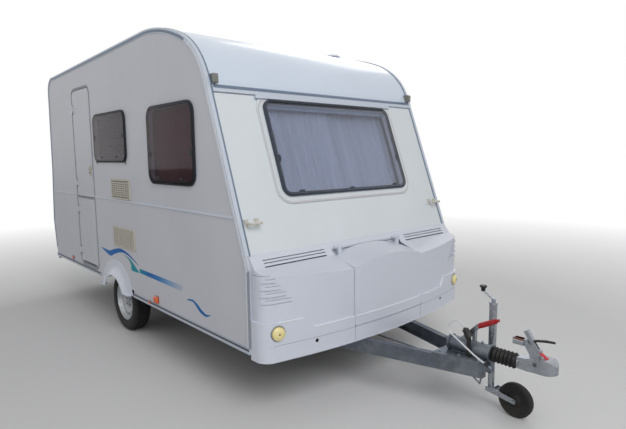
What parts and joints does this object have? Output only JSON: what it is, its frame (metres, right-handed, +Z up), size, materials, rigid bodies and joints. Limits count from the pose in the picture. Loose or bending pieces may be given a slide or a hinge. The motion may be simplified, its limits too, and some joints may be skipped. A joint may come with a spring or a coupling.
{
  "type": "travel caravan",
  "caption": "Small single-axle travel caravan with a sloping front, bowed front locker, stable door, braked drawbar and jockey wheel.",
  "frame": {"origin": "on the ground, halfway along the overall length, on the middle plane", "axes": "+X forward to the coupling, +Y to the left side, +Z up"},
  "size_m": [5.523, 2.188, 2.627],
  "materials": {
    "wall_white": "satin lacquer",
    "roof_white": "satin lacquer",
    "front_cream": "satin lacquer",
    "floor_ply": "black primed plywood",
    "liner_black": "matt",
    "moulding_white": "glossy moulded sheet",
    "trim_aluminium": "anodised",
    "window_rubber": "matt",
    "window_tint": "tinted acrylic",
    "vent_beige": "matt",
    "hinge_steel": "plated",
    "galvanised_steel": "hot dip zinc, spangled",
    "zinc_steel": "bright zinc",
    "bellows_rubber": "matt",
    "lamp_amber": "amber lens",
    "lamp_smoke": "smoked lens",
    "lamp_red": "red lens",
    "handle_beige": "matt",
    "dome_clear": "clear acrylic",
    "rim_silver": "silver lacquer",
    "grip_red": "matt",
    "lead_grey": "matt",
    "plug_black": "matt",
    "tyre_black": "matt"
  },
  "bodies": {
    "body": {"side_wall_right": "wall_white", "side_wall_left": "wall_white", "roof_panel": "roof_white", "front_panel": "front_cream", "rear_panel": "roof_white", "floor_panel": "floor_ply", "wheel_housings": "liner_black", "wheel_spats": "moulding_white", "corner_trims": "trim_aluminium", "side_rails": "trim_aluminium", "front_rails": "trim_aluminium", "front_window_frame": "window_rubber", "front_window_pane": "window_tint", "side_window_frames": "window_rubber", "side_window_panes": "window_tint", "rear_window_frame": "window_rubber", "rear_window_pane": "window_tint", "fridge_vents": "vent_beige", "door_lining": "window_rubber", "door_hinge_pins": "hinge_steel", "locker_shell": "moulding_white", "chassis_frame": "galvanised_steel", "drawbar_beams": "galvanised_steel", "axle": "galvanised_steel", "steady_brackets": "galvanised_steel", "overrun_housing": "galvanised_steel", "bellows": "bellows_rubber", "coupling_head": "zinc_steel", "coupling_handle": "zinc_steel", "handbrake_lever": "zinc_steel", "jockey_clamp": "galvanised_steel", "jockey_tube": "zinc_steel", "front_lamps": "lamp_amber", "marker_lamps": "lamp_smoke", "grab_handles": "handle_beige", "rooflight": "dome_clear", "rear_bumper": "moulding_white", "rear_lamps": "lamp_red", "belt_mouldings": "moulding_white", "service_flaps": "vent_beige", "roof_vent": "moulding_white", "brake_rod": "galvanised_steel", "handbrake_grip": "grip_red", "lead_cable": "lead_grey", "lead_plug": "plug_black", "plug_holder": "plug_black"},
    "wheel_right": {"tyre_right": "tyre_black", "rim_right": "rim_silver"},
    "wheel_left": {"tyre_left": "tyre_black", "rim_left": "rim_silver"},
    "door_top": {"door_upper": "wall_white", "door_handle": "vent_beige"},
    "door_bottom": {"door_lower": "wall_white"},
    "lid": {"locker_lid": "moulding_white"},
    "jockey_leg": {"jockey_fork": "zinc_steel"},
    "jockey_roller": {"jockey_wheel": "tyre_black"},
    "steady_front_right": {"steady_leg_front_right": "galvanised_steel"},
    "steady_front_left": {"steady_leg_front_left": "galvanised_steel"},
    "steady_rear_right": {"steady_leg_rear_right": "galvanised_steel"},
    "steady_rear_left": {"steady_leg_rear_left": "galvanised_steel"}
  },
  "joints": [
    {"name": "wheel_right_spin", "type": "hinge", "parent": "body", "child": "wheel_right", "pos_m": [-0.81, -0.921, 0.285], "axis": [0, 1, 0], "continuous": true},
    {"name": "wheel_left_spin", "type": "hinge", "parent": "body", "child": "wheel_left", "pos_m": [-0.81, 0.921, 0.285], "axis": [0, 1, 0], "continuous": true},
    {"name": "door_top_swing", "type": "hinge", "parent": "body", "child": "door_top", "pos_m": [-1.783, -1.059, 1.76], "axis": [0, 0, -1], "range_deg": [0, 160]},
    {"name": "door_bottom_swing", "type": "hinge", "parent": "body", "child": "door_bottom", "pos_m": [-1.783, -1.059, 0.88], "axis": [0, 0, -1], "range_deg": [0, 160]},
    {"name": "lid_swing", "type": "hinge", "parent": "body", "child": "lid", "pos_m": [1.384, 0, 0.992], "axis": [0, -1, 0], "range_deg": [0, 80]},
    {"name": "jockey_wind", "type": "slide", "parent": "body", "child": "jockey_leg", "axis": [0, 0, 1], "range_m": [0, 0.14]},
    {"name": "jockey_spin", "type": "hinge", "parent": "jockey_leg", "child": "jockey_roller", "pos_m": [2.455, 0.158, 0.108], "axis": [0, 1, 0], "continuous": true},
    {"name": "steady_front_right_fold", "type": "hinge", "parent": "body", "child": "steady_front_right", "pos_m": [0.74, -0.8, 0.428], "axis": [0, 1, 0], "range_deg": [0, 70]},
    {"name": "steady_front_left_fold", "type": "hinge", "parent": "body", "child": "steady_front_left", "pos_m": [0.74, 0.8, 0.428], "axis": [0, 1, 0], "range_deg": [0, 70]},
    {"name": "steady_rear_right_fold", "type": "hinge", "parent": "body", "child": "steady_rear_right", "pos_m": [-2.18, -0.8, 0.428], "axis": [0, -1, 0], "range_deg": [0, 70]},
    {"name": "steady_rear_left_fold", "type": "hinge", "parent": "body", "child": "steady_rear_left", "pos_m": [-2.18, 0.8, 0.428], "axis": [0, -1, 0], "range_deg": [0, 70]}
  ]
}
